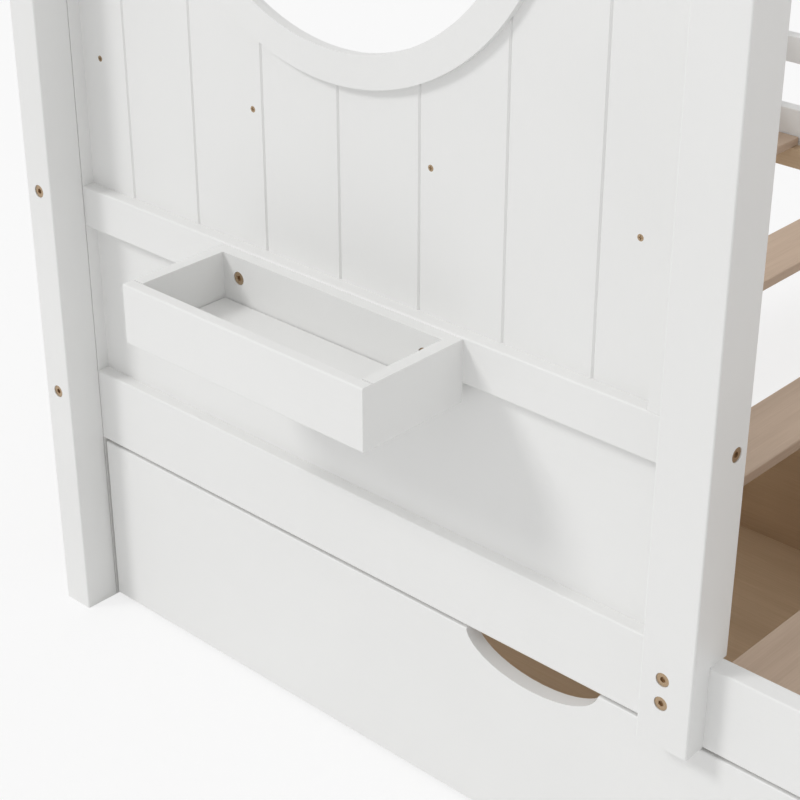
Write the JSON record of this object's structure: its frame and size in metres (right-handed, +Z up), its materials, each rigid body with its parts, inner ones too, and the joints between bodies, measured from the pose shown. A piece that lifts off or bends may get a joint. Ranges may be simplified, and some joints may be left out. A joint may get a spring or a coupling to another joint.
{
  "type": "house bed",
  "caption": "House-shaped bed frame with a window wall, flower box, open entrance, guard bars, slatted base and a full-length under-bed drawer on casters.",
  "frame": {"origin": "on the floor at the middle of the overall footprint, flower box included", "axes": "+X along the bed, -Y out of the window wall, +Z up"},
  "size_m": [2, 1.63, 1.99],
  "materials": {
    "white_paint": "satin white paint",
    "slat_wood": "bare planed",
    "plywood": "bare",
    "bronze_fixings": "bronze",
    "caster_steel": "zinc",
    "wheel_plastic": "matte"
  },
  "bodies": {
    "bed_frame": {"corner_post_front_left": "white_paint", "corner_post_front_right": "white_paint", "corner_post_back_left": "white_paint", "corner_post_back_right": "white_paint", "corner_stile_front_left": "white_paint", "corner_stile_front_right": "white_paint", "corner_stile_back_left": "white_paint", "corner_stile_back_right": "white_paint", "rafter_front_left": "white_paint", "rafter_front_right": "white_paint", "rafter_back_left": "white_paint", "rafter_back_right": "white_paint", "mid_post_front": "white_paint", "side_rail_front": "white_paint", "side_rail_back": "white_paint", "end_rail_left": "white_paint", "end_rail_right": "white_paint", "wall_mid_rail": "white_paint", "eave_beam_front": "white_paint", "eave_beam_back": "white_paint", "ridge_beam": "white_paint", "guard_bars_back": "white_paint", "guard_bars_left": "white_paint", "guard_bars_right": "white_paint", "wall_panel_left": "white_paint", "wall_panel_right": "white_paint", "wall_panel_lower_left": "white_paint", "wall_panel_lower_right": "white_paint", "wall_stile": "white_paint", "wall_batten_lower": "white_paint", "wall_batten_upper": "white_paint", "window_ring_left": "white_paint", "window_ring_right": "white_paint", "box_front": "white_paint", "box_back": "white_paint", "box_left": "white_paint", "box_right": "white_paint", "box_floor": "white_paint", "slats": "slat_wood", "slat_ledgers": "slat_wood", "frame_bolts": "bronze_fixings", "panel_screws": "bronze_fixings", "box_bolts": "bronze_fixings"},
    "drawer": {"drawer_front": "white_paint", "drawer_left_side": "plywood", "drawer_right_side": "plywood", "drawer_back": "plywood", "drawer_bottom": "plywood", "drawer_dividers": "plywood", "caster_brackets": "caster_steel", "caster_axles": "caster_steel"},
    "front_left_wheel": {"wheel_front_left": "wheel_plastic"},
    "front_right_wheel": {"wheel_front_right": "wheel_plastic"},
    "back_left_wheel": {"wheel_back_left": "wheel_plastic"},
    "back_right_wheel": {"wheel_back_right": "wheel_plastic"}
  },
  "joints": [
    {"name": "drawer_slide", "type": "slide", "parent": "bed_frame", "child": "drawer", "axis": [0, -1, 0], "range_m": [0, 0.55]},
    {"name": "front_left_wheel_spin", "type": "hinge", "parent": "drawer", "child": "front_left_wheel", "pos_m": [-0.835, -0.573, 0.015], "axis": [1, 0, 0], "range_deg": [0, 2101]},
    {"name": "front_right_wheel_spin", "type": "hinge", "parent": "drawer", "child": "front_right_wheel", "pos_m": [0.835, -0.573, 0.015], "axis": [1, 0, 0], "range_deg": [0, 2101]},
    {"name": "back_left_wheel_spin", "type": "hinge", "parent": "drawer", "child": "back_left_wheel", "pos_m": [-0.835, -0.105, 0.015], "axis": [1, 0, 0], "range_deg": [0, 2101]},
    {"name": "back_right_wheel_spin", "type": "hinge", "parent": "drawer", "child": "back_right_wheel", "pos_m": [0.835, -0.105, 0.015], "axis": [1, 0, 0], "range_deg": [0, 2101]}
  ],
  "couplings": [
    {"joint": "front_left_wheel_spin", "follows": "drawer_slide", "rad_per_m": 66.667},
    {"joint": "front_right_wheel_spin", "follows": "drawer_slide", "rad_per_m": 66.667},
    {"joint": "back_left_wheel_spin", "follows": "drawer_slide", "rad_per_m": 66.667},
    {"joint": "back_right_wheel_spin", "follows": "drawer_slide", "rad_per_m": 66.667}
  ]
}
